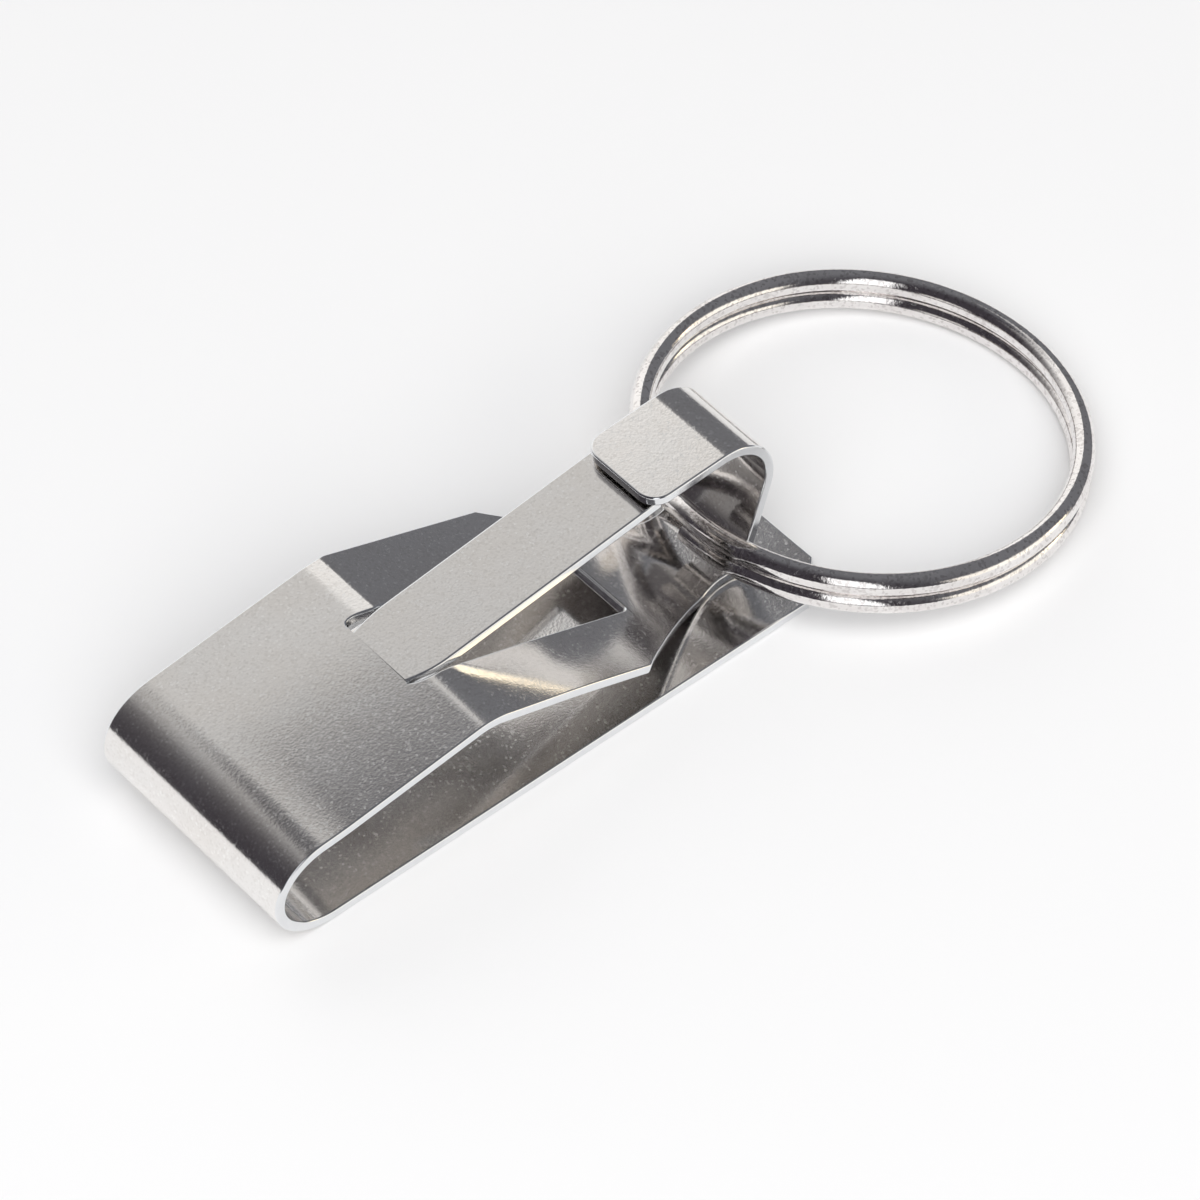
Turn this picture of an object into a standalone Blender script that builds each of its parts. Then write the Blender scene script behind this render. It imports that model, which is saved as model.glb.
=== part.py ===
"""Belt key clip: one bent strip of spring steel with a belt slot, a spring gate and a hook,
and the split ring that hangs in the hook.

Metres, +Z up. X runs from the bow to the ring. The strip lies on the flat of its back plate,
and the origin is the middle of that flat. Places along the clip are measured from the outside
of the bow, and the ones at the hook from the back plate's end edge.
"""
import math

import bmesh
import bpy
from mathutils import Matrix, Vector

# The strip
SHEET = 0.0008
STRIP_WIDTH = 0.019
PLATE_LENGTH = 0.05065
PLATE_CHAMFER = 0.003
SEAM_GAP = 0.0003

# The bow that joins the back plate to the leaf
BOW_DEPTH = 0.00495
BOW_HEIGHT = 0.00848
LEAF_ANGLE = math.radians(6.77)

# The leaf, and the slope that comes down to the back plate
SLOPE_BEND_FROM_BOW = 0.01894
SLOPE_BEND_RADIUS = 0.0035
CORNER_FROM_BOW = 0.0328
NECK_BEND_RADIUS = 0.003
NECK_GAP = 0.0003
TAPER_POWER = 1.4

# The neck, the riser and the tab of the ring hook
RISER_FOOT_FROM_END = 0.00469
NECK_LENGTH = 0.0044
HOOK_WIDTH = 0.0076
HOOK_OFFSET = 0.0006
RISER_LEAN = math.radians(17.0)
FOOT_RADIUS = 0.0017
CREST_HEIGHT = 0.01401
CREST_RADIUS = 0.0038
TAB_ANGLE = math.radians(2.8)
TAB_LENGTH = 0.0085
TAB_ROUND = 0.0016

# The gate tongue, and the window that it is cut from
GATE_WIDTH = 0.00675
GATE_OFFSET = 0.00027
WINDOW_GAP = 0.0002
ROOT_BEFORE_BEND = 0.00227
GATE_LAP = 0.0015
GATE_CLEARANCE = 0.0003
WINDOW_END_BEFORE_NECK = 0.0061

# The split ring
RING_DIAMETER = 0.0335
WIRE = 0.00142
TURN_GAP = 0.00048
RAMP_ANGLE = math.radians(30.0)
RAMP_PLACE = math.radians(162.0)
RING_BEFORE_RISER = 0.00223
RING_ABOVE_NECK = 0.00275
RING_OFFSET = 0.0017
TURNS = 2
POINTS_PER_TURN = 60

# How finely the bends are drawn
BEND_STEP = math.radians(7.5)
TAPER_STEPS = 12
ROUND_STEPS = 5
WIRE_RESOLUTION = 2
WELD = 0.00001

# Heights and places that follow from the sizes
BOW_CENTRE = Vector((BOW_DEPTH, 0.0, BOW_HEIGHT / 2))
BOW_ACROSS = BOW_DEPTH - SHEET / 2
BOW_UP = BOW_HEIGHT / 2 - SHEET / 2
NECK_LEVEL = SHEET + NECK_GAP + SHEET / 2
RISER_FOOT = PLATE_LENGTH - RISER_FOOT_FROM_END
NECK_START = RISER_FOOT - NECK_LENGTH
GATE_ROOT = SLOPE_BEND_FROM_BOW - ROOT_BEFORE_BEND
HOOK_EDGES = (-HOOK_OFFSET - HOOK_WIDTH / 2, -HOOK_OFFSET + HOOK_WIDTH / 2)
PLATE_EDGES = (-STRIP_WIDTH / 2, STRIP_WIDTH / 2)
GATE_EDGES = (-GATE_OFFSET - GATE_WIDTH / 2, -GATE_OFFSET + GATE_WIDTH / 2)
WINDOW_EDGES = (GATE_EDGES[0] - WINDOW_GAP, GATE_EDGES[1] + WINDOW_GAP)
WINDOW_END = NECK_START - WINDOW_END_BEFORE_NECK
CREST_LEVEL = CREST_HEIGHT - SHEET / 2


def clear_scene():
    for thing in list(bpy.data.objects):
        bpy.data.objects.remove(thing, do_unlink=True)


def metal(name, colour, roughness):
    material = bpy.data.materials.new(name)
    material.use_nodes = True
    shader = material.node_tree.nodes["Principled BSDF"]
    shader.inputs["Base Color"].default_value = (*colour, 1.0)
    shader.inputs["Metallic"].default_value = 1.0
    shader.inputs["Roughness"].default_value = roughness
    return material


def place(piece, group, parent, position, material):
    """Put a piece at its place in the clip, under the piece or empty that carries it."""
    group.objects.link(piece)
    piece.parent = parent
    piece.location = position - Vector(parent["place"])
    piece["place"] = list(position)
    piece.data.materials.append(material)
    return piece


def bend(before, corner, after, radius):
    """Points of the arc that rounds a corner between two straight runs."""
    arriving = (corner - before).normalized()
    leaving = (after - corner).normalized()
    turn = arriving.angle_signed(leaving)
    reach = radius * math.tan(abs(turn) / 2)
    start = corner - arriving * reach
    count = max(2, math.ceil(abs(turn) / BEND_STEP))
    side = math.copysign(1.0, turn)
    centre = start + Vector((arriving.y, -arriving.x)) * radius * side
    spoke = start - centre
    return [centre + Matrix.Rotation(-turn * step / count, 2) @ spoke for step in range(count + 1)]


def bent_path(corners):
    """A side path through corners given as a point and a bend radius, with no radius at its ends."""
    points = [corners[0][0]]
    for before, (corner, radius), after in zip(corners, corners[1:], corners[2:]):
        points += bend(before[0], corner, after[0], radius)
    return points + [corners[-1][0]]


def bow_point(angle):
    """A point of the bow's middle line, with the angle taken from straight up towards -X."""
    return Vector((BOW_CENTRE.x - BOW_ACROSS * math.sin(angle), BOW_CENTRE.z + BOW_UP * math.cos(angle)))


def leaf_tangent():
    """The angle on the bow where the leaf leaves it, in the leaf's own direction."""
    return math.atan(BOW_ACROSS / BOW_UP * math.tan(LEAF_ANGLE))


def leaf_height(x):
    """The leaf's middle line, before its bend."""
    start = bow_point(leaf_tangent())
    return start.y + (x - start.x) * math.tan(LEAF_ANGLE)


def height_on(path, x):
    """The height of a path that runs along +X."""
    for start, end in zip(path, path[1:]):
        if start.x <= x <= end.x:
            share = (x - start.x) / (end.x - start.x)
            return start.y + (end.y - start.y) * share
    return path[-1].y


def sheet_piece(name, rows, origin, skipped=lambda row, column: False):
    """A bent sheet of even thickness, from rows of a place along the path and widths across it."""
    sheet = bmesh.new()
    columns = len(rows[0][1])
    bmesh.ops.create_grid(sheet, x_segments=len(rows) - 1, y_segments=columns - 1, size=0.5)
    sheet.verts.ensure_lookup_table()
    grid = sorted(sheet.verts, key=lambda vert: (round(vert.co.x, 4), vert.co.y))
    index = {}
    for number, vert in enumerate(grid):
        row, column = divmod(number, columns)
        point, widths = rows[row]
        index[vert] = (row, column)
        vert.co = Vector((point.x, widths[column], point.y)) - origin
    dropped = []
    for face in sheet.faces:
        row = min(index[vert][0] for vert in face.verts)
        column = min(index[vert][1] for vert in face.verts)
        if skipped(row, column):
            dropped.append(face)
    bmesh.ops.delete(sheet, geom=dropped, context="FACES")
    for edge in sheet.edges:
        edge.smooth = not edge.is_boundary
    mesh = bpy.data.meshes.new(name)
    sheet.to_mesh(mesh)
    sheet.free()
    mesh.shade_smooth()
    piece = bpy.data.objects.new(name, mesh)
    wall = piece.modifiers.new("sheet", "SOLIDIFY")
    wall.thickness = SHEET
    wall.offset = 0.0
    wall.use_even_offset = True
    return piece


def make_back_plate(group, frame, material):
    """The flat back plate, with its two end corners cut off."""
    shoulder = PLATE_LENGTH - PLATE_CHAMFER
    low, high = PLATE_EDGES
    level = SHEET / 2
    rows = [
        (Vector((BOW_DEPTH + SEAM_GAP, level)), (low, high)),
        (Vector((shoulder, level)), (low, high)),
        (Vector((PLATE_LENGTH, level)), (low + PLATE_CHAMFER, high - PLATE_CHAMFER)),
    ]
    origin = Vector(((BOW_DEPTH + PLATE_LENGTH) / 2, 0.0, 0.0))
    piece = sheet_piece("back_plate", rows, origin)
    return place(piece, group, frame, origin, material)


def make_spring_bow(group, frame, material):
    """The bow, from the back plate round to where the leaf leaves it."""
    start = math.pi
    end = leaf_tangent()
    count = math.ceil((start - end) / BEND_STEP)
    rows = [(bow_point(start + (end - start) * step / count), PLATE_EDGES) for step in range(count + 1)]
    piece = sheet_piece("spring_bow", rows, BOW_CENTRE)
    return place(piece, group, frame, BOW_CENTRE, material)


def jaw_axis():
    """The middle of the seam between the bow and the leaf, where the leaf lifts."""
    seam = bow_point(leaf_tangent())
    middle = SEAM_GAP / 2
    return Vector((seam.x + middle * math.cos(LEAF_ANGLE), 0.0, seam.y + middle * math.sin(LEAF_ANGLE)))


def slope_path():
    """The middle line of the leaf, the slope and the neck, up to the riser's foot."""
    seam = bow_point(leaf_tangent())
    start = seam + Vector((math.cos(LEAF_ANGLE), math.sin(LEAF_ANGLE))) * SEAM_GAP
    top = Vector((SLOPE_BEND_FROM_BOW, leaf_height(SLOPE_BEND_FROM_BOW)))
    neck = Vector((NECK_START, NECK_LEVEL))
    foot = Vector((RISER_FOOT, NECK_LEVEL))
    return bent_path([(start, None), (top, SLOPE_BEND_RADIUS), (neck, NECK_BEND_RADIUS), (foot, None)])


def crest_centre():
    """The centre of the crest's bend, as high as the crest allows and one radius from the riser."""
    level = CREST_LEVEL - CREST_RADIUS
    riser = RISER_FOOT + (level - NECK_LEVEL) * math.tan(RISER_LEAN)
    return Vector((riser - CREST_RADIUS / math.cos(RISER_LEAN), level))


def tab_height(x):
    """The tab's middle line, which touches the crest's bend and falls towards the tab's end."""
    centre = crest_centre()
    return centre.y + CREST_RADIUS / math.cos(TAB_ANGLE) + (x - centre.x) * math.tan(TAB_ANGLE)


def crest_corner():
    """Where the riser's line meets the tab's."""
    lean = math.tan(RISER_LEAN)
    rise = (tab_height(RISER_FOOT) - NECK_LEVEL) / (1.0 - lean * math.tan(TAB_ANGLE))
    return Vector((RISER_FOOT + rise * lean, NECK_LEVEL + rise))


def hook_path():
    """The middle line of the neck's end, the riser, the crest and the tab."""
    neck = Vector((NECK_START, NECK_LEVEL))
    foot = Vector((RISER_FOOT, NECK_LEVEL))
    tab_end = RISER_FOOT - TAB_LENGTH
    end = Vector((tab_end, tab_height(tab_end)))
    return bent_path([(neck, None), (foot, FOOT_RADIUS), (crest_corner(), CREST_RADIUS), (end, None)])[1:]


def slope_edges(x):
    """The strip's two edges: full width, then a concave taper to the width of the hook."""
    if x <= CORNER_FROM_BOW:
        return PLATE_EDGES
    share = min(1.0, (x - CORNER_FROM_BOW) / (RISER_FOOT - FOOT_RADIUS - CORNER_FROM_BOW))
    kept = (1.0 - share) ** TAPER_POWER
    return tuple(hook + (plate - hook) * kept for hook, plate in zip(HOOK_EDGES, PLATE_EDGES))


def slope_widths(x):
    """The strip's edges with the window's edges between them, which follow the taper past the window."""
    low, high = slope_edges(x)
    if x <= WINDOW_END:
        return low, *WINDOW_EDGES, high
    end_low, end_high = slope_edges(WINDOW_END)
    shares = [(side - end_low) / (end_high - end_low) for side in WINDOW_EDGES]
    return low, low + (high - low) * shares[0], low + (high - low) * shares[1], high


def hook_widths(inset=0.0):
    """The hook's edges and the two inner lines of its sheet, drawn in where the tab's end is round."""
    low = HOOK_EDGES[0] + inset
    high = HOOK_EDGES[1] - inset
    outer = slope_widths(RISER_FOOT)
    shares = [(side - outer[0]) / (outer[3] - outer[0]) for side in outer]
    return tuple(low + (high - low) * share for share in shares)


def make_front_plate(group, frame, material):
    """The leaf, the slope with its window, the neck, and the hook with its tab, bent from one sheet."""
    low_path = slope_path()
    high_path = hook_path()
    taper = [CORNER_FROM_BOW + (RISER_FOOT - FOOT_RADIUS - CORNER_FROM_BOW) * step / TAPER_STEPS
             for step in range(TAPER_STEPS + 1)]
    marks = [point.x for point in low_path[:-1]] + [GATE_ROOT, WINDOW_END] + taper
    places = sorted(place_x for place_x in marks if place_x < high_path[0].x - WELD)
    rows = [(Vector((x, height_on(low_path, x))), slope_widths(x)) for x in places]
    rows += [(point, hook_widths()) for point in high_path[:-1]]
    end = high_path[-1]
    along = (high_path[-2] - end).normalized()
    for step in range(ROUND_STEPS + 1):
        angle = math.pi / 2 * step / ROUND_STEPS
        back = TAB_ROUND * (1.0 - math.sin(angle))
        inset = TAB_ROUND * (1.0 - math.cos(angle))
        rows.append((end + along * back, hook_widths(inset)))
    first = next(number for number, row in enumerate(rows) if abs(row[0].x - GATE_ROOT) < WELD)
    last = next(number for number, row in enumerate(rows) if abs(row[0].x - WINDOW_END) < WELD)
    axis = jaw_axis()
    piece = sheet_piece("front_plate", rows, axis, lambda row, column: first <= row < last and column == 1)
    return place(piece, group, frame, axis, material)


def gate_axis():
    """The crease at the tongue's root, in the middle of the sheet and of the seam."""
    return Vector((GATE_ROOT + SEAM_GAP / 2, 0.0, leaf_height(GATE_ROOT)))


def make_gate_tongue(group, front_plate, material):
    """The spring gate, which goes on in the leaf's line until its tip lies under the tab."""
    tip_x = RISER_FOOT - TAB_LENGTH + GATE_LAP
    root = Vector((GATE_ROOT + SEAM_GAP, leaf_height(GATE_ROOT)))
    tip = Vector((tip_x, tab_height(tip_x) - SHEET - GATE_CLEARANCE))
    rows = [(point, GATE_EDGES) for point in (root, tip)]
    axis = gate_axis()
    piece = sheet_piece("gate_tongue", rows, axis)
    return place(piece, group, front_plate, axis, material)


def wire_points():
    """Middle line of the ring's wire: a level turn, a ramp where the ends lie, and a level turn."""
    radius = (RING_DIAMETER - WIRE) / 2
    pitch = WIRE + TURN_GAP
    first = RAMP_PLACE + RAMP_ANGLE / 2
    sweep = TURNS * 2 * math.pi - RAMP_ANGLE
    count = round(POINTS_PER_TURN * sweep / (2 * math.pi))
    points = []
    for step in range(count + 1):
        angle = first + sweep * step / count
        climb = (angle - (RAMP_PLACE + 2 * math.pi - RAMP_ANGLE / 2)) / RAMP_ANGLE
        climb = min(1.0, max(0.0, climb))
        level = pitch * (climb * climb * (3.0 - 2.0 * climb) - 0.5)
        points.append(Vector((radius + radius * math.cos(angle), radius * math.sin(angle), level)))
    return points


def least_turn_gap(points):
    """The least gap between stretches of the wire that are at least a third of a turn apart."""
    apart = POINTS_PER_TURN // 3
    least = math.inf
    for number, point in enumerate(points):
        for other, after in zip(points[number + apart:], points[number + apart + 1:]):
            run = after - other
            share = min(1.0, max(0.0, (point - other).dot(run) / run.length_squared))
            least = min(least, (point - other - run * share).length)
    return least - WIRE


def ring_pivot():
    """Where the wire lies in the hook, before the riser and above the neck."""
    height = NECK_LEVEL + SHEET / 2 + RING_ABOVE_NECK
    return Vector((RISER_FOOT - RING_BEFORE_RISER, -RING_OFFSET, height))


def ring_tilt():
    """How far the ring leans down from the hook for its far side to lie on the surface."""
    across = RING_DIAMETER - WIRE
    half_stack = (WIRE + TURN_GAP) / 2
    drop = ring_pivot().z - WIRE / 2
    return math.asin(drop / math.hypot(across, half_stack)) - math.atan2(half_stack, across)


def make_split_ring(group, front_plate, material):
    """The split ring: one wire in two turns, turned about the place where it lies in the hook."""
    points = wire_points()
    print("least gap between the ring's turns, mm:", round(least_turn_gap(points) * 1000, 3))
    curve = bpy.data.curves.new("split_ring", "CURVE")
    curve.dimensions = "3D"
    curve.bevel_depth = WIRE / 2
    curve.bevel_resolution = WIRE_RESOLUTION
    curve.use_fill_caps = True
    spline = curve.splines.new("POLY")
    spline.points.add(len(points) - 1)
    for target, point in zip(spline.points, points):
        target.co = (*point, 1.0)
    piece = bpy.data.objects.new("split_ring", curve)
    piece.rotation_euler = (0.0, ring_tilt(), 0.0)
    place(piece, group, front_plate, ring_pivot(), material)
    weld = piece.modifiers.new("caps", "WELD")
    weld.merge_threshold = WELD
    return piece


def main():
    clear_scene()
    group = bpy.data.collections.new("belt_key_clip")
    bpy.context.scene.collection.children.link(group)
    frame = bpy.data.objects.new("clip_frame", None)
    group.objects.link(frame)
    frame.location = (-(BOW_DEPTH + PLATE_LENGTH) / 2, 0.0, 0.0)
    frame["place"] = [0.0, 0.0, 0.0]
    satin = metal("satin_steel", (0.55, 0.53, 0.50), 0.3)
    bright = metal("bright_steel", (0.62, 0.60, 0.57), 0.12)
    make_back_plate(group, frame, satin)
    make_spring_bow(group, frame, satin)
    front_plate = make_front_plate(group, frame, satin)
    make_gate_tongue(group, front_plate, satin)
    make_split_ring(group, front_plate, bright)


main()
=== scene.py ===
"""Looks of the belt key clip: satin steel strip and a bright split ring on a pale studio floor."""

import math

import bmesh
import bpy
from mathutils import Matrix, Vector


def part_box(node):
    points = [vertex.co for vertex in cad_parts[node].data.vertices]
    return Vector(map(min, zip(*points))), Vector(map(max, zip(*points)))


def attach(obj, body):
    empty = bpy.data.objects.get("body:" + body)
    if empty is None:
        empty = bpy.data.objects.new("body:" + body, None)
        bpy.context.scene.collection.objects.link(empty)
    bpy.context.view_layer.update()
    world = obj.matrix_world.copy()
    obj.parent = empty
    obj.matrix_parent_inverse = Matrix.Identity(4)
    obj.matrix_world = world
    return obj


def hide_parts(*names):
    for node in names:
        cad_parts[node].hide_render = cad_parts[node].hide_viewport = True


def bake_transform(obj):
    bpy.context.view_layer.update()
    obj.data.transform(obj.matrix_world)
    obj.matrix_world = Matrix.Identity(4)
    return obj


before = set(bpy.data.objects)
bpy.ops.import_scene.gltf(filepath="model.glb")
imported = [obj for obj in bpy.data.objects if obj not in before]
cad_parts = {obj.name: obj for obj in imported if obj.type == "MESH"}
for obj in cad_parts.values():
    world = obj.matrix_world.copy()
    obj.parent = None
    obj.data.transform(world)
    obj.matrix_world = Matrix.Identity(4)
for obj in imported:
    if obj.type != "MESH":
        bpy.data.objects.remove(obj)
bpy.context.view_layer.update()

MM = 0.001

# The strip, in metres, measured along X from the outside of the bow
BOW_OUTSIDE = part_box("spring_bow")[0].x
PLATE_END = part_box("back_plate")[1].x
HALF_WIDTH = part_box("back_plate")[1].y
CREST_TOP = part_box("front_plate")[1].z
SHEET = 0.8 * MM
BOW_DEPTH = 4.95 * MM
BOW_HEIGHT = 8.48 * MM
LEAF_ANGLE = math.radians(6.77)
SLOPE_BEND_FROM_BOW = 18.94 * MM
CURL_BEFORE_BEND = 1.24 * MM
CURL_ANGLE = math.radians(1.2)
CURL_RADIUS = 6.0 * MM
FAR_BEND_RADIUS = 1.4 * MM
NEAR_BEND_RADIUS = 5.0 * MM
LEAF_CROWN = 0.29 * MM
CROWN_SIDE = 3.0 * MM
CROWN_POWER = 1.5
CROWN_RISE = 7.0 * MM
CROWN_FALL = 9.0 * MM
CORNER_FROM_BOW = 32.8 * MM
PLATE_CHAMFER = 3.0 * MM
NECK_BEND_RADIUS = 4.5 * MM
NECK_CONTACT_GAP = 0.06 * MM
TAPER_POWER = 1.4
RISER_FOOT_FROM_END = 4.69 * MM
NECK_LENGTH = 4.4 * MM
HOOK_HALF_WIDTH = 3.8 * MM
HOOK_OFFSET = 0.6 * MM
RISER_LEAN = math.radians(17.0)
FOOT_RADIUS = 2.2 * MM
CREST_RADIUS = 4.1 * MM
TAB_ANGLE = math.radians(2.8)
TAB_LENGTH = 8.5 * MM
TAB_ROUND = 1.6 * MM
EDGE_ROUND = 0.16 * MM
SEAM_FROM_BOW = 8.0 * MM

# The gate tongue and its window
GATE_WIDTH = 6.75 * MM
GATE_OFFSET = 0.27 * MM
WINDOW_GAP = 0.2 * MM
SLIT_GAP = 0.12 * MM
ROOT_BEFORE_BEND = 2.27 * MM
ROOT_ROUND = 3.3 * MM
ROOT_NEAR_INSET = 0.6 * MM
ROOT_FAR_INSET = 0.35 * MM
RELIEF_LENGTH = 2.4 * MM
RELIEF_DEPTH = 0.45 * MM
WINDOW_CORNER = 0.35 * MM
GATE_LAP = 1.5 * MM
GATE_CLEARANCE = 0.3 * MM
WINDOW_END_BEFORE_NECK = 6.1 * MM

# The split ring
RING_DIAMETER = 33.5 * MM
WIRE = 1.645 * MM
TURN_PITCH = 1.675 * MM
RING_TURNS = 2
RAMP_ANGLE = math.radians(24.0)
RAMP_PLACE = math.radians(165.0)
RING_BEFORE_RISER = 2.23 * MM
RING_ABOVE_NECK = 2.75 * MM
RING_OFFSET = 1.7 * MM
NECK_SEAM_GAP = 0.3 * MM
RING_INPUTS = ("Ring Radius", "Wire", "Pitch", "Ramp Start", "Ramp Angle")

# Places that follow
BOW_CENTRE = Vector((BOW_OUTSIDE + BOW_DEPTH, BOW_HEIGHT / 2))
BOW_ACROSS = BOW_DEPTH - SHEET / 2
BOW_UP = BOW_HEIGHT / 2 - SHEET / 2
NECK_LEVEL = SHEET + NECK_CONTACT_GAP + SHEET / 2
RISER_FOOT = PLATE_END - RISER_FOOT_FROM_END
NECK_START = RISER_FOOT - NECK_LENGTH
SLOPE_BEND = BOW_OUTSIDE + SLOPE_BEND_FROM_BOW
TAPER_START = BOW_OUTSIDE + CORNER_FROM_BOW
TAPER_END = RISER_FOOT - FOOT_RADIUS
GATE_ROOT = SLOPE_BEND - ROOT_BEFORE_BEND
WINDOW_END = NECK_START - WINDOW_END_BEFORE_NECK
SEAM = BOW_OUTSIDE + SEAM_FROM_BOW
HOOK_EDGES = (-HOOK_OFFSET - HOOK_HALF_WIDTH, -HOOK_OFFSET + HOOK_HALF_WIDTH)
GATE_EDGES = (-GATE_OFFSET - GATE_WIDTH / 2, -GATE_OFFSET + GATE_WIDTH / 2)
WINDOW_EDGES = (GATE_EDGES[0] - WINDOW_GAP, GATE_EDGES[1] + WINDOW_GAP)

# How finely bends and round outlines are drawn
FULL_TURN = 2 * math.pi
BEND_STEP = math.radians(3.0)
BEND_LEAST = 4
TAPER_STEPS = 24
EDGE_STEPS = 4
EDGE_PROFILE = 0.5
ROUND_STEPS = 8
ROOT_STEPS = 14
CROWN_RISE_STEPS = 18
CROWN_FALL_STEPS = 5
CORNER_STEPS = 5
RING_STEPS_PER_TURN = 180
WIRE_SIDES = 28
LEAST_ROW = 0.05 * MM
MERGE = 0.001 * MM

# Lines across each panel beside and in the window, and the gate's last rows as shares of its length
PANEL_SHARES = (0.0, 0.34, 0.66)
PANEL = len(PANEL_SHARES)
GATE_LAST_ROWS = [0.5, 1.0]

# Which folds are sharp, and how near to the gate's root a corner counts as on it
EDGE_FOLD = math.radians(50.0)
RIM_FOLD = math.radians(60.0)
ROOT_REACH = SHEET / 8

# A sheet's materials by number
FACE_MATERIAL = 0
EDGE_MATERIAL = 1


def bend(before, corner, after, radius):
    """Points of the arc that rounds a corner between two straight runs."""
    arriving = (corner - before).normalized()
    leaving = (after - corner).normalized()
    turn = arriving.angle_signed(leaving)
    reach = radius * math.tan(abs(turn) / 2)
    start = corner - arriving * reach
    count = max(BEND_LEAST, math.ceil(abs(turn) / BEND_STEP))
    side = math.copysign(1.0, turn)
    centre = start + Vector((arriving.y, -arriving.x)) * radius * side
    spoke = start - centre
    return [centre + Matrix.Rotation(-turn * step / count, 2) @ spoke for step in range(count + 1)]


def bent_path(corners):
    """A side path through corners given as a point and a bend radius, with no radius at its ends."""
    points = [corners[0][0]]
    for before, (corner, radius), after in zip(corners, corners[1:], corners[2:]):
        points += bend(before[0], corner, after[0], radius)
    return points + [corners[-1][0]]


def bow_point(angle):
    """A point of the bow's middle line, with the angle taken from straight up towards -X."""
    return Vector((BOW_CENTRE.x - BOW_ACROSS * math.sin(angle), BOW_CENTRE.y + BOW_UP * math.cos(angle)))


LEAF_TANGENT = math.atan(BOW_ACROSS / BOW_UP * math.tan(LEAF_ANGLE))
LEAF_START = bow_point(LEAF_TANGENT)


def leaf_height(x):
    """The leaf's middle line, before its bend."""
    return LEAF_START.y + (x - LEAF_START.x) * math.tan(LEAF_ANGLE)


def crest_centre():
    """The centre of the crest's bend, as high as the crest allows and one radius from the riser."""
    level = CREST_TOP - SHEET / 2 - CREST_RADIUS
    riser = RISER_FOOT + (level - NECK_LEVEL) * math.tan(RISER_LEAN)
    return Vector((riser - CREST_RADIUS / math.cos(RISER_LEAN), level))


def tab_height(x):
    """The tab's middle line, which touches the crest's bend and falls towards the tab's end."""
    centre = crest_centre()
    return centre.y + CREST_RADIUS / math.cos(TAB_ANGLE) + (x - centre.x) * math.tan(TAB_ANGLE)


def crest_corner():
    """Where the riser's line meets the tab's."""
    lean = math.tan(RISER_LEAN)
    rise = (tab_height(RISER_FOOT) - NECK_LEVEL) / (1.0 - lean * math.tan(TAB_ANGLE))
    return Vector((RISER_FOOT + rise * lean, NECK_LEVEL + rise))


def height_on(path, x):
    """The height of a path that runs along +X."""
    for start, end in zip(path, path[1:]):
        if start.x <= x <= end.x:
            share = (x - start.x) / (end.x - start.x)
            return start.y + (end.y - start.y) * share
    return path[-1].y


def eased(value):
    """A share from nought to one that starts and ends gently."""
    share = min(1.0, max(0.0, value))
    return share * share * (3.0 - 2.0 * share)


def strip_edges(x):
    """The strip's two edges from the leaf on: full width, then a concave taper to the hook's width."""
    share = min(1.0, max(0.0, (x - TAPER_START) / (TAPER_END - TAPER_START)))
    kept = (1.0 - share) ** TAPER_POWER
    return tuple(hook + (plate - hook) * kept for hook, plate in zip(HOOK_EDGES, (-HALF_WIDTH, HALF_WIDTH)))


def root_share(x):
    """One at the gate's root, and nought where its rounded root corners have run out."""
    return (1.0 - min(1.0, max(0.0, (x - GATE_ROOT) / ROOT_ROUND))) ** 2


def gate_edges(x):
    """The tongue's two edges, drawn in at the root."""
    low, high = GATE_EDGES
    return low + ROOT_NEAR_INSET * root_share(x), high - ROOT_FAR_INSET * root_share(x)


def window_edges(x):
    """The window's two edges: a tight slit at the root, with a round relief on the far side."""
    low, high = WINDOW_EDGES
    near_slit = gate_edges(x)[0] - SLIT_GAP
    low = near_slit + (low - near_slit) * (1.0 - root_share(x))
    along = min(1.0, max(0.0, (x - GATE_ROOT) / RELIEF_LENGTH))
    high += RELIEF_DEPTH * math.sin(math.pi * math.sqrt(along))
    into_corner = max(0.0, x - (WINDOW_END - WINDOW_CORNER)) / WINDOW_CORNER
    inset = WINDOW_CORNER * (1.0 - math.sqrt(max(0.0, 1.0 - into_corner ** 2)))
    return low + inset, high - inset


def panel_lines(edges):
    """Every line across the strip, from its edges and the window's edges between them."""
    lines = []
    for low, high in zip(edges, edges[1:]):
        lines += [low + (high - low) * share for share in PANEL_SHARES]
    return tuple(lines) + (edges[-1],)


def strip_widths(x):
    """The lines across the strip, which follow the taper past the window."""
    low, high = strip_edges(x)
    if GATE_ROOT <= x <= WINDOW_END + MERGE:
        inner = window_edges(min(x, WINDOW_END))
    elif x < GATE_ROOT:
        inner = window_edges(GATE_ROOT)
    else:
        end_low, end_high = strip_edges(WINDOW_END)
        shares = [(side - end_low) / (end_high - end_low) for side in window_edges(WINDOW_END)]
        inner = [low + (high - low) * share for share in shares]
    return panel_lines((low, *inner, high))


def drawn_in(widths, inset):
    """The same row with its two edges moved in, and the inner lines kept at their shares."""
    low, high = widths[0] + inset, widths[-1] - inset
    shares = [(width - widths[0]) / (widths[-1] - widths[0]) for width in widths]
    return tuple(low + (high - low) * share for share in shares)


def crown(point, width):
    """How far the bow's upper half and the leaf fall away from their far side to their near edge."""
    if point.y < BOW_CENTRE.y:
        return 0.0
    rise = eased((point.x - BOW_OUTSIDE) / CROWN_RISE)
    fall = eased((point.x - SLOPE_BEND) / CROWN_FALL)
    share = max(0.0, (CROWN_SIDE - width) / (CROWN_SIDE + HALF_WIDTH))
    return LEAF_CROWN * share ** CROWN_POWER * rise * (1.0 - fall)


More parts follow.
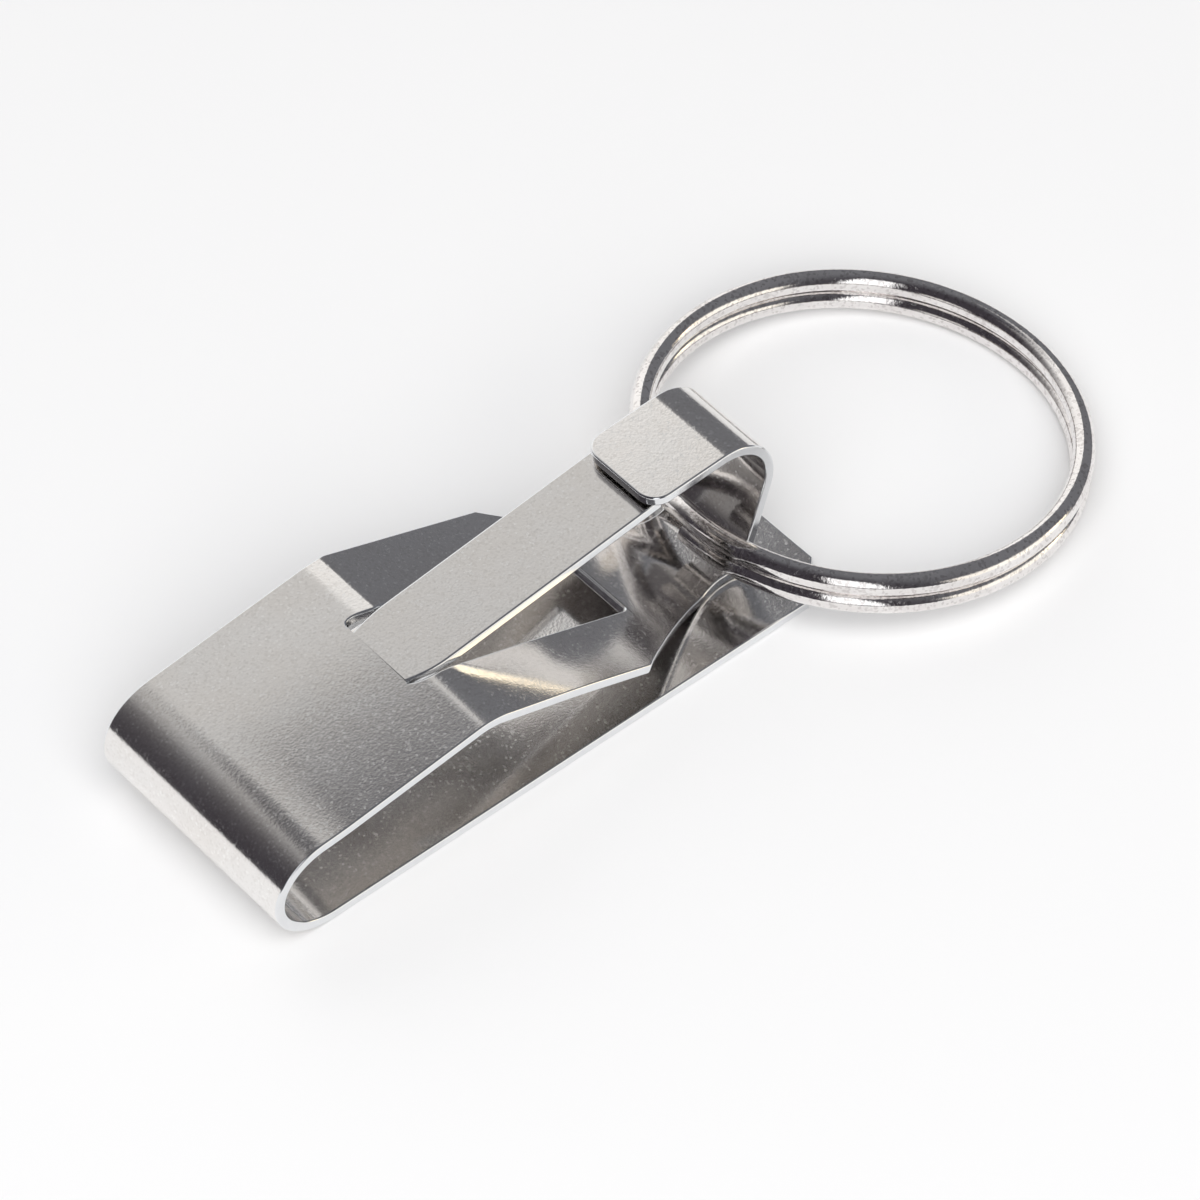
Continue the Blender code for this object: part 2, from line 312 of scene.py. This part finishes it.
def slope_path(near_side):
    """The middle line of the leaf, the slope and the neck, which bends in one or in two steps."""
    top = Vector((SLOPE_BEND, leaf_height(SLOPE_BEND)))
    neck = Vector((NECK_START, NECK_LEVEL))
    foot = Vector((RISER_FOOT, NECK_LEVEL))
    last_bends = [(neck, NECK_BEND_RADIUS), (foot, None)]
    if near_side:
        return bent_path([(LEAF_START, None), (top, NEAR_BEND_RADIUS)] + last_bends)
    curl = Vector((SLOPE_BEND - CURL_BEFORE_BEND, leaf_height(SLOPE_BEND - CURL_BEFORE_BEND)))
    fall = (neck.y - top.y) / (neck.x - top.x)
    rise = math.tan(CURL_ANGLE)
    bend_x = (top.y - curl.y + rise * curl.x - fall * top.x) / (rise - fall)
    turn = Vector((bend_x, top.y + fall * (bend_x - top.x)))
    return bent_path([(LEAF_START, None), (curl, CURL_RADIUS), (turn, FAR_BEND_RADIUS)] + last_bends)


def hook_path():
    """The middle line of the riser, the crest and the tab."""
    neck = Vector((NECK_START, NECK_LEVEL))
    foot = Vector((RISER_FOOT, NECK_LEVEL))
    tab_end = RISER_FOOT - TAB_LENGTH
    end = Vector((tab_end, tab_height(tab_end)))
    return bent_path([(neck, None), (foot, FOOT_RADIUS), (crest_corner(), CREST_RADIUS), (end, None)])[1:]


def even_steps(start, length, steps):
    """Places at even steps along a run, with both its ends."""
    return [start + length * step / steps for step in range(steps + 1)]


def leaf_places(bends, start, end):
    """Where the rows lie from the leaf to the neck: close at bends and outlines, and never too close."""
    marks = [point.x for point in bends] + [SEAM]
    marks += even_steps(BOW_OUTSIDE, CROWN_RISE, CROWN_RISE_STEPS)
    marks += even_steps(SLOPE_BEND, CROWN_FALL, CROWN_FALL_STEPS)[1:]
    marks += even_steps(GATE_ROOT, ROOT_ROUND, ROOT_STEPS)
    marks += [WINDOW_END - WINDOW_CORNER * (1.0 - math.sin(math.pi / 2 * step / CORNER_STEPS))
              for step in range(CORNER_STEPS + 1)]
    marks += even_steps(TAPER_START, TAPER_END - TAPER_START, TAPER_STEPS)
    places = []
    for x in sorted(mark for mark in marks if start < mark < end):
        if not places or x - places[-1] > LEAST_ROW or x in (GATE_ROOT, WINDOW_END):
            places.append(x)
    return places


def clip_rows():
    """Every row of the strip from the back plate's end round the bow to the tab's end."""
    plate = strip_widths(SLOPE_BEND - SLOPE_BEND_FROM_BOW)
    level = SHEET / 2
    shoulder = PLATE_END - PLATE_CHAMFER
    rows = [(Vector((PLATE_END, level)), drawn_in(plate, PLATE_CHAMFER)), (Vector((shoulder, level)), plate)]
    count = math.ceil((math.pi - LEAF_TANGENT) / BEND_STEP)
    for step in range(count + 1):
        angle = math.pi + (LEAF_TANGENT - math.pi) * step / count
        rows.append((bow_point(angle), plate))
    low_path = slope_path(near_side=False)
    high_path = hook_path()
    bends = low_path[1:-1] + slope_path(near_side=True)[1:-1]
    places = leaf_places(bends, LEAF_START.x + LEAST_ROW, high_path[0].x - MERGE)
    rows += [(Vector((x, height_on(low_path, x))), strip_widths(x)) for x in places]
    hook = strip_widths(RISER_FOOT)
    rows += [(point, hook) for point in high_path[:-1]]
    rows.append((high_path[-1] + (high_path[-2] - high_path[-1]).normalized() * TAB_ROUND, hook))
    return rows


def tab_arcs():
    """The outlines of the tab's two round corners, each from its side to the nearest inner line."""
    path = hook_path()
    end = path[-1]
    along = (path[-2] - end).normalized()
    hook = strip_widths(RISER_FOOT)
    arcs = []
    for side, inner, inward in ((hook[0], hook[PANEL], 1.0), (hook[-1], hook[2 * PANEL], -1.0)):
        arc = []
        for step in range(1, ROUND_STEPS + 1):
            angle = math.pi / 2 * step / ROUND_STEPS
            place = end + along * TAB_ROUND * (1.0 - math.sin(angle))
            arc.append((place, side + inward * TAB_ROUND * (1.0 - math.cos(angle))))
        arcs.append(arc + [(end, inner)])
    return arcs


def sheet_grid(rows, drop, skipped, end_arcs):
    """An open grid of faces through the rows without the skipped ones, closed by two round corners."""
    grid = bmesh.new()

    def corners(places):
        return [grid.verts.new((point.x, width, point.y - drop(point, width))) for point, width in places]

    lines = [corners((point, width) for width in widths) for point, widths in rows]
    for row, (line, after) in enumerate(zip(lines, lines[1:])):
        for column in range(len(line) - 1):
            if not skipped(row, column):
                grid.faces.new((line[column], line[column + 1], after[column + 1], after[column]))
    if end_arcs:
        near, far = [corners(arc) for arc in end_arcs]
        last = lines[-1]
        grid.faces.new(last[:PANEL + 1] + near[::-1])
        grid.faces.new(last[PANEL:2 * PANEL + 1] + [far[-1], near[-1]])
        grid.faces.new(last[2 * PANEL:] + far)
    return grid


def at_gate_root(part):
    """Whether an edge or a face lies on the line where the gate grows out of the leaf."""
    return all(abs(corner.co.x - GATE_ROOT) < ROOT_REACH for corner in part.verts)


def new_object(name, data):
    """An object with this data, in the scene."""
    made = bpy.data.objects.new(name, data)
    bpy.context.scene.collection.objects.link(made)
    return made


def with_modifiers_applied(piece):
    """The piece's mesh after its modifiers, which takes the place of its first one."""
    made = bpy.data.meshes.new_from_object(piece.evaluated_get(bpy.context.evaluated_depsgraph_get()))
    piece.modifiers.clear()
    piece.data = made
    return made


def round_edges(mesh):
    """Round every sharp edge, and make all faces smooth but those at the gate's root."""
    work = bmesh.new()
    work.from_mesh(mesh)
    folds = [edge for edge in work.edges if edge.calc_face_angle(0.0) > EDGE_FOLD and not at_gate_root(edge)]
    bmesh.ops.bevel(work, geom=folds, offset=EDGE_ROUND, offset_type="OFFSET", segments=EDGE_STEPS,
                    profile=EDGE_PROFILE, affect="EDGES", clamp_overlap=False, material=EDGE_MATERIAL)
    for face in work.faces:
        face.smooth = not at_gate_root(face)
    work.to_mesh(mesh)
    work.free()


def finished_sheet(name, rows, materials, drop, skipped=lambda row, column: False, end_arcs=()):
    """A sheet of even thickness with rounded edges, as a plain mesh."""
    grid = sheet_grid(rows, drop, skipped, end_arcs)
    mesh = bpy.data.meshes.new(name)
    grid.to_mesh(mesh)
    grid.free()
    piece = new_object(name, mesh)
    for material in materials:
        mesh.materials.append(material)
    wall = piece.modifiers.new("sheet", "SOLIDIFY")
    wall.thickness = SHEET
    wall.offset = 0.0
    wall.use_even_offset = True
    wall.material_offset_rim = EDGE_MATERIAL
    made = with_modifiers_applied(piece)
    made.name = name
    bpy.data.meshes.remove(mesh)
    round_edges(made)
    return piece


def smooth(piece):
    """Smooth shading in which the faces keep their own direction up to the rounded edges."""
    mesh = piece.data
    directions = [Vector() for corner in mesh.vertices]
    for material_index in (FACE_MATERIAL, EDGE_MATERIAL):
        open_corners = {number for number, direction in enumerate(directions) if direction.length == 0.0}
        for face in mesh.polygons:
            if face.use_smooth and face.material_index == material_index:
                for corner in open_corners.intersection(face.vertices):
                    directions[corner] += face.normal * face.area
    normals = []
    for face in mesh.polygons:
        for corner in face.vertices:
            normals.append(directions[corner].normalized() if face.use_smooth else face.normal.copy())
    mesh.normals_split_custom_set(normals)
    return piece


def part_of(piece, name, chosen):
    """A closed copy of the part of a piece whose faces are chosen by their centres."""
    mesh = piece.data.copy()
    work = bmesh.new()
    work.from_mesh(mesh)
    left = [face for face in work.faces if not chosen(face.calc_center_median())]
    bmesh.ops.delete(work, geom=left, context="FACES")
    rim = [edge for edge in work.edges if edge.is_boundary]
    cap = bmesh.ops.contextual_create(work, geom=rim)["faces"]
    for face in cap:
        face.material_index = EDGE_MATERIAL
        face.smooth = False
    bmesh.ops.recalc_face_normals(work, faces=work.faces[:])
    work.to_mesh(mesh)
    work.free()
    mesh.name = name
    return new_object(name, mesh)


def row_at(rows, x):
    """The number of the row at a place past the bow."""
    return next(number for number, (point, widths) in enumerate(rows)
                if abs(point.x - x) < MERGE and point.y > NECK_LEVEL + SHEET)


def make_clip(materials):
    """The whole strip, parted in the flat of the leaf into a back and a front that is stiff."""
    rows = clip_rows()
    first = row_at(rows, GATE_ROOT)
    last = row_at(rows, WINDOW_END)
    near = slope_path(near_side=True)
    far = slope_path(near_side=False)

    def drop(point, width):
        """How far a place lies below the far side's line: the crown, and the near side's single bend."""
        nearer = 0.0
        if width < 0.0 and point.x > LEAF_START.x and NECK_LEVEL < point.y < tab_height(point.x) - SHEET:
            nearer = height_on(far, point.x) - height_on(near, point.x)
        return crown(point, width) + nearer

    def in_window(row, column):
        return first <= row < last and PANEL <= column < 2 * PANEL

    whole = finished_sheet("strip", rows, materials, drop, in_window, tab_arcs())
    split_level = SHEET + NECK_CONTACT_GAP / 2

    def in_front(centre):
        return centre.x > SEAM and centre.z > split_level

    back = part_of(whole, "back_plate_and_bow", lambda centre: not in_front(centre))
    front = part_of(whole, "leaf_slope_and_hook", in_front)
    bpy.data.objects.remove(whole)
    return smooth(back), smooth(front)


def make_gate(materials):
    """The spring gate, which goes on in the leaf's line until its tip lies under the tab."""
    tip_x = RISER_FOOT - TAB_LENGTH + GATE_LAP
    root = Vector((GATE_ROOT, leaf_height(GATE_ROOT)))
    tip = Vector((tip_x, tab_height(tip_x) - SHEET - GATE_CLEARANCE))
    rows = []
    for share in even_steps(0.0, ROOT_ROUND / (tip_x - GATE_ROOT), ROOT_STEPS) + GATE_LAST_ROWS:
        point = root.lerp(tip, share)
        rows.append((point, panel_lines(gate_edges(point.x))))
    return smooth(finished_sheet("gate_tongue_strip", rows, materials, lambda point, width: 0.0))


def ring_tree(material):
    """A node tree that winds one wire: a level turn, a ramp where the ends lie, and a level turn."""
    tree = bpy.data.node_groups.new("wound_wire", "GeometryNodeTree")
    nodes = Nodes(tree)
    sizes = {}
    for name in RING_INPUTS:
        size = tree.interface.new_socket(name, in_out="INPUT", socket_type="NodeSocketFloat")
        sizes[name] = size.identifier
    tree.interface.new_socket("Wire", in_out="OUTPUT", socket_type="NodeSocketGeometry")
    given = tree.nodes.new("NodeGroupInput")
    radius, wire, pitch, ramp_start, ramp = [Socket(nodes, given.outputs[name]) for name in RING_INPUTS]
    points = RING_STEPS_PER_TURN * RING_TURNS + 1
    line = nodes.node("GeometryNodeCurvePrimitiveLine", {}, {"End": (0.0, 0.0, 1.0)})
    line = nodes.node("GeometryNodeResampleCurve", {}, {"Curve": line, "Count": points})
    share = nodes.node("GeometryNodeInputIndex") * (1.0 / (points - 1))
    angle = ramp_start + ramp + share * (RING_TURNS * FULL_TURN - ramp)
    top = ramp_start + ramp + FULL_TURN
    climb = nodes.between(angle, top - ramp, top)
    across = radius * nodes.math("COSINE", angle)
    along = radius * nodes.math("SINE", angle)
    place = nodes.node("ShaderNodeCombineXYZ", {}, {0: radius + across, 1: along, 2: pitch * (climb - 0.5)})
    line = nodes.node("GeometryNodeSetPosition", {}, {"Geometry": line, "Position": place})
    line = nodes.node("GeometryNodeSetCurveNormal", {"mode": "Z_UP"}, {"Curve": line})
    outline = nodes.node("GeometryNodeCurvePrimitiveCircle", {},
                         {"Resolution": WIRE_SIDES, "Radius": wire * 0.5})
    tube = nodes.node("GeometryNodeCurveToMesh", {},
                      {"Curve": line, "Profile Curve": outline, "Fill Caps": True})
    fold = nodes.node("GeometryNodeInputMeshEdgeAngle")
    rim = nodes.node("FunctionNodeCompare", {"operation": "GREATER_THAN"}, {0: fold, 1: RIM_FOLD})
    tube = nodes.node("GeometryNodeSetShadeSmooth", {"domain": "EDGE"},
                      {"Geometry": tube, "Selection": rim, "Shade Smooth": False})
    tube = nodes.node("GeometryNodeRealizeInstances", {}, {"Geometry": tube})
    tube = nodes.node("GeometryNodeSetMaterial", {}, {"Geometry": tube, "Material": material})
    result = tree.nodes.new("NodeGroupOutput")
    nodes.feed(result.inputs["Wire"], tube)
    return tree, sizes


def make_ring(material):
    """The split ring, one round wire with its two ends cut square, laid against the hook's foot."""
    radius = (RING_DIAMETER - WIRE) / 2
    tree, sizes = ring_tree(material)
    piece = new_object("split_ring_wire", bpy.data.meshes.new("split_ring_wire"))
    winding = piece.modifiers.new("winding", "NODES")
    winding.node_group = tree
    values = (radius, WIRE, TURN_PITCH, RAMP_PLACE - RAMP_ANGLE / 2, RAMP_ANGLE)
    for name, value in zip(RING_INPUTS, values):
        winding[sizes[name]] = value
    made = with_modifiers_applied(piece)
    work = bmesh.new()
    work.from_mesh(made)
    bmesh.ops.remove_doubles(work, verts=work.verts[:], dist=MERGE)
    bmesh.ops.recalc_face_normals(work, faces=work.faces[:])
    work.to_mesh(made)
    work.free()
    neck_top = SHEET + NECK_SEAM_GAP + SHEET
    pivot = Vector((RISER_FOOT - RING_BEFORE_RISER, -RING_OFFSET, neck_top + RING_ABOVE_NECK))
    across = 2 * radius
    half_stack = TURN_PITCH / 2
    tilt = math.asin((pivot.z - WIRE / 2) / math.hypot(across, half_stack)) - math.atan2(half_stack, across)
    made.transform(Matrix.Translation(pivot) @ Matrix.Rotation(tilt, 4, "Y"))
    return piece


# A Mix node's sockets when it mixes colours
MIX_SHARE = 0
MIX_FIRST = 6
MIX_SECOND = 7
MIX_RESULT = 2


class Socket:
    """A node's output that adds Math nodes when it is used in a sum."""

    def __init__(self, nodes, socket):
        self.nodes = nodes
        self.socket = socket

    def __add__(self, other):
        return self.nodes.math("ADD", self, other)

    def __radd__(self, other):
        return self.nodes.math("ADD", other, self)

    def __sub__(self, other):
        return self.nodes.math("SUBTRACT", self, other)

    def __rsub__(self, other):
        return self.nodes.math("SUBTRACT", other, self)

    def __mul__(self, other):
        return self.nodes.math("MULTIPLY", self, other)

    def __rmul__(self, other):
        return self.nodes.math("MULTIPLY", other, self)


class Nodes:
    """A node tree: node() adds a node with its settings and inputs, and gives one of its outputs."""

    def __init__(self, tree):
        self.tree = tree

    def node(self, kind, settings=None, inputs=None, output=0):
        made = self.tree.nodes.new(kind)
        for key, value in (settings or {}).items():
            setattr(made, key, value)
        for key, value in (inputs or {}).items():
            self.feed(made.inputs[key], value)
        return Socket(self, made.outputs[output])

    def feed(self, target, value):
        """Link an output to an input, or set the input to a fixed value."""
        if isinstance(value, Socket):
            self.tree.links.new(value.socket, target)
        else:
            target.default_value = value

    def math(self, operation, *values):
        return self.node("ShaderNodeMath", {"operation": operation}, dict(enumerate(values)))

    def place_in_mm(self, stretch=(1.0, 1.0, 1.0)):
        """The place on the piece in millimetres, with each axis stretched."""
        coordinates = self.node("ShaderNodeTexCoord", output="Object")
        scale = tuple(value / MM for value in stretch)
        return self.node("ShaderNodeMapping", {}, {"Vector": coordinates, "Scale": scale})

    def noise(self, place, per_mm, detail=2.0, roughness=0.5):
        inputs = {"Vector": place, "Scale": per_mm, "Detail": detail, "Roughness": roughness}
        return self.node("ShaderNodeTexNoise", {}, inputs)

    def cells(self, place, per_mm):
        """Small cells, each with a value of its own."""
        return self.node("ShaderNodeTexVoronoi", {}, {"Vector": place, "Scale": per_mm}, output="Color")

    def between(self, value, low, high, to_low=0.0, to_high=1.0):
        """A value that goes gently from one result to the other between two limits."""
        inputs = {"Value": value, "From Min": low, "From Max": high, "To Min": to_low, "To Max": to_high}
        return self.node("ShaderNodeMapRange", {"interpolation_type": "SMOOTHSTEP"}, inputs)

    def mixed(self, share, first, second):
        """The first colour with a share of the second."""
        inputs = {MIX_SHARE: share, MIX_FIRST: first, MIX_SECOND: second}
        return self.node("ShaderNodeMix", {"data_type": "RGBA"}, inputs, output=MIX_RESULT)

    def bump(self, height, distance):
        return self.node("ShaderNodeBump", {}, {"Height": height, "Strength": 1.0, "Distance": distance})


# Metals: the tones follow slow clouds, and small cells are dark grains or bright flecks
NOISE_RANGE = (0.3, 0.7)
SATIN_TONES = ((0.832, 0.805, 0.778, 1.0), (0.864, 0.848, 0.832, 1.0))
SATIN_ROUGHNESS = (0.09, 0.12)
SATIN_DARK_CELLS = (0.4, 0.15)
SATIN_DARK_COLOUR = (0.65, 0.62, 0.585, 1.0)
SATIN_DARK_SHARE = 0.3
SATIN_FLECK_CELLS = (0.74, 0.92)
SATIN_FLECK_COLOUR = (0.97, 0.96, 0.94, 1.0)
SATIN_FLECK_SHARE = 0.75
SATIN_FLECK_ROUGHNESS = 0.1
SATIN_GRAIN_DEPTH = 0.0034 * MM
SCUFF_STRETCH = (0.5, 3.0, 3.0)
SCUFF_ROUGHNESS = 0.04
EDGE_TONES = ((0.77, 0.78, 0.795, 1.0), (0.85, 0.86, 0.87, 1.0))
EDGE_ROUGHNESS = (0.12, 0.18)
EDGE_STRETCH = (1.0, 1.0, 0.4)
WIRE_TONES = ((0.82, 0.79, 0.775, 1.0), (0.89, 0.865, 0.85, 1.0))
WIRE_ROUGHNESS = (0.05, 0.1)
WIRE_DARK_CELLS = (0.4, 0.2)
WIRE_DARK_COLOUR = (0.42, 0.38, 0.37, 1.0)
WIRE_DARK_SHARE = 0.4
WIRE_FLECK_CELLS = (0.72, 0.9)
WIRE_FLECK_ROUGHNESS = 0.16
WIRE_GRAIN_DEPTH = 0.007 * MM


def new_material(name):
    """A node material with its tree and its surface shader's inputs."""
    material = bpy.data.materials.new(name)
    material.use_nodes = True
    surface = material.node_tree.nodes["Principled BSDF"]
    surface.inputs["Metallic"].default_value = 1.0
    return material, Nodes(material.node_tree), surface.inputs


def satin_steel():
    """Tumbled spring steel: a fine glittering grain, slow cloudy changes and a few faint scuffs."""
    material, nodes, inputs = new_material("satin_steel")
    place = nodes.place_in_mm()
    grain = nodes.noise(place, per_mm=5.0, detail=1.0, roughness=0.6)
    cells = nodes.cells(place, per_mm=6.0)
    clouds = nodes.noise(place, per_mm=0.16)
    scuffs = nodes.noise(nodes.place_in_mm(SCUFF_STRETCH), per_mm=0.9, detail=1.0)
    tone = nodes.mixed(nodes.between(clouds, *NOISE_RANGE), *SATIN_TONES)
    tone = nodes.mixed(nodes.between(cells, *SATIN_DARK_CELLS) * SATIN_DARK_SHARE, tone, SATIN_DARK_COLOUR)
    flecks = nodes.between(cells, *SATIN_FLECK_CELLS)
    nodes.feed(inputs["Base Color"], nodes.mixed(flecks * SATIN_FLECK_SHARE, tone, SATIN_FLECK_COLOUR))
    roughness = nodes.between(clouds, *NOISE_RANGE, *SATIN_ROUGHNESS) + scuffs * SCUFF_ROUGHNESS
    nodes.feed(inputs["Roughness"], roughness + flecks * SATIN_FLECK_ROUGHNESS)
    nodes.feed(inputs["Normal"], nodes.bump(grain, SATIN_GRAIN_DEPTH))
    return material


def cut_edge():
    """The sheared and rounded edge of the strip, cooler and cleaner than its faces."""
    material, nodes, inputs = new_material("cut_edge")
    marks = nodes.noise(nodes.place_in_mm(EDGE_STRETCH), per_mm=2.0, detail=1.0)
    nodes.feed(inputs["Base Color"], nodes.mixed(marks, *EDGE_TONES))
    nodes.feed(inputs["Roughness"], nodes.between(marks, *NOISE_RANGE, *EDGE_ROUGHNESS))
    return material


def bright_wire():
    """Plated wire with a coarse glittering skin."""
    material, nodes, inputs = new_material("bright_wire")
    place = nodes.place_in_mm()
    grain = nodes.noise(place, per_mm=4.6, roughness=0.6)
    cells = nodes.cells(place, per_mm=5.0)
    clouds = nodes.noise(place, per_mm=0.35)
    tone = nodes.mixed(nodes.between(clouds, *NOISE_RANGE), *WIRE_TONES)
    colour = nodes.mixed(nodes.between(cells, *WIRE_DARK_CELLS) * WIRE_DARK_SHARE, tone, WIRE_DARK_COLOUR)
    nodes.feed(inputs["Base Color"], colour)
    flecks = nodes.between(cells, *WIRE_FLECK_CELLS) * WIRE_FLECK_ROUGHNESS
    nodes.feed(inputs["Roughness"], nodes.between(grain, *NOISE_RANGE, *WIRE_ROUGHNESS) + flecks)
    nodes.feed(inputs["Normal"], nodes.bump(grain, WIRE_GRAIN_DEPTH))
    return material


# Camera: fitted to the photograph, in millimetres from the bow's outside
CAMERA_PLACE = Vector((-142.94, -210.65, 310.13)) * MM
CAMERA_AZIMUTH = math.radians(-40.411)
CAMERA_ELEVATION = math.radians(48.167)
CAMERA_ROLL = math.radians(-0.208)
CAMERA_LENS = 176.97
CAMERA_SENSOR = 36.0
CAMERA_NEAREST = 0.01
CAMERA_FARTHEST = 20.0


def make_camera():
    """A camera that looks from where the photograph was taken."""
    data = bpy.data.cameras.new("camera")
    data.lens = CAMERA_LENS
    data.sensor_width = CAMERA_SENSOR
    data.clip_start = CAMERA_NEAREST
    data.clip_end = CAMERA_FARTHEST
    right = Vector((math.cos(CAMERA_AZIMUTH), math.sin(CAMERA_AZIMUTH), 0.0))
    flat = math.cos(CAMERA_ELEVATION)
    back = Vector((math.sin(CAMERA_AZIMUTH) * flat, -math.cos(CAMERA_AZIMUTH) * flat,
                   math.sin(CAMERA_ELEVATION)))
    up = back.cross(right)
    turned_right = right * math.cos(CAMERA_ROLL) + up * math.sin(CAMERA_ROLL)
    turned_up = up * math.cos(CAMERA_ROLL) - right * math.sin(CAMERA_ROLL)
    matrix = Matrix((turned_right, turned_up, back)).transposed().to_4x4()
    matrix.translation = CAMERA_PLACE + Vector((BOW_OUTSIDE, 0.0, 0.0))
    camera = new_object("camera", data)
    camera.matrix_world = matrix
    bpy.context.scene.camera = camera


# Studio: the floor, the walls and the lamp
FLOOR_SIZE = 6.0
FLOOR_DROP = 0.02 * MM
FLOOR_COLOUR = (0.9, 0.9, 0.9, 1.0)
FLOOR_ROUGHNESS = 0.9
LEFT_WALL = (0.052, 0.047, 0.056, 1.0)
RIGHT_WALL = (0.168, 0.171, 0.186, 1.0)
WALL_CHANGE = (-0.5, 0.5)
LAMP_PLACE = (-0.45, -0.55, 1.0)
LAMP_SIZE = 1.8
LAMP_WATTS = 20.5

# The room's light by direction, in degrees
DEGREES_IN_RADIAN = math.degrees(1.0)
DEGREES_ROUND = 360.0
AZIMUTH_START = -100.0

# Each area has limits in azimuth from +Y towards +X, limits in elevation, and a colour.
# It fades in from its first limit to its second, and out from its third to its last.
LIGHT_AREAS = {
    "backdrop": ((-62.0, 10.0, 38.8, 40.4), (-99.0, -91.0, 55.8, 60.6), (0.667, 0.661, 0.653, 1.0)),
    "backdrop foot": ((-40.0, 6.0, 38.8, 40.4), (-99.0, -91.0, 48.4, 52.2), (1.07, 1.06, 1.045, 1.0)),
    "front light": ((112.0, 124.0, 172.0, 184.0), (-99.0, -91.0, 21.0, 33.0), (1.25, 1.20, 1.10, 1.0)),
    "warm spot": ((114.0, 118.0, 124.0, 128.0), (8.0, 12.0, 20.0, 25.0), (2.4, 2.05, 1.5, 1.0)),
    "window": ((204.0, 209.0, 229.0, 235.0), (2.0, 10.0, 60.0, 70.0), (1.35, 1.36, 1.38, 1.0)),
}


def make_floor():
    """A pale floor that takes the lamp's light and keeps the shadow."""
    bpy.ops.mesh.primitive_plane_add(size=FLOOR_SIZE, location=(0.0, 0.0, -FLOOR_DROP))
    floor = bpy.context.object
    floor.name = "floor"
    material, nodes, inputs = new_material("pale_floor")
    inputs["Metallic"].default_value = 0.0
    inputs["Base Color"].default_value = FLOOR_COLOUR
    inputs["Roughness"].default_value = FLOOR_ROUGHNESS
    inputs["Specular IOR Level"].default_value = 0.0
    floor.data.materials.append(material)


def make_sky():
    """The room round the table: dim walls, a white backdrop, a light in front, a warm spot, a window."""
    world = bpy.data.worlds.new("studio")
    bpy.context.scene.world = world
    world.use_nodes = True
    nodes = Nodes(world.node_tree)
    direction = nodes.node("ShaderNodeTexCoord", output="Generated")
    parts = nodes.tree.nodes.new("ShaderNodeSeparateXYZ")
    nodes.feed(parts.inputs["Vector"], direction)
    x, y, z = [Socket(nodes, parts.outputs[axis]) for axis in "XYZ"]
    turned = nodes.math("ARCTAN2", x, y) * DEGREES_IN_RADIAN - AZIMUTH_START
    azimuth = nodes.math("FLOORED_MODULO", turned, DEGREES_ROUND) + AZIMUTH_START
    elevation = nodes.math("ARCSINE", z) * DEGREES_IN_RADIAN
    glow = nodes.mixed(nodes.between(x, *WALL_CHANGE), LEFT_WALL, RIGHT_WALL)
    for *limits, colour in LIGHT_AREAS.values():
        inside = 1.0
        for value, (start, full, fading, end) in zip((azimuth, elevation), limits):
            inside = inside * nodes.between(value, start, full) * nodes.between(value, end, fading)
        glow = nodes.mixed(inside, glow, colour)
    background = world.node_tree.nodes["Background"]
    nodes.feed(background.inputs["Color"], glow)
    background.inputs["Strength"].default_value = 1.0


def make_lamp():
    """A soft lamp that lights the floor and makes the shadow, and doesn't show in the metal."""
    data = bpy.data.lights.new("front top", "AREA")
    data.shape = "DISK"
    data.size = LAMP_SIZE
    data.energy = LAMP_WATTS
    lamp = new_object("front top", data)
    lamp.location = LAMP_PLACE
    lamp.rotation_euler = (-lamp.location).to_track_quat("-Z", "Y").to_euler()
    lamp.visible_glossy = False


def main():
    make_camera()
    make_floor()
    make_sky()
    make_lamp()
    steel = satin_steel()
    edge = cut_edge()
    back, front = make_clip((steel, edge))
    gate = make_gate((steel, edge))
    ring = make_ring(bright_wire())
    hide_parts("back_plate", "spring_bow")
    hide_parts("front_plate")
    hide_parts("gate_tongue")
    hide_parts("split_ring")
    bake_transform(back)
    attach(front, "clip_front")
    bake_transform(gate)
    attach(ring, "ring")
    bpy.context.scene.view_settings.view_transform = "Standard"


main()
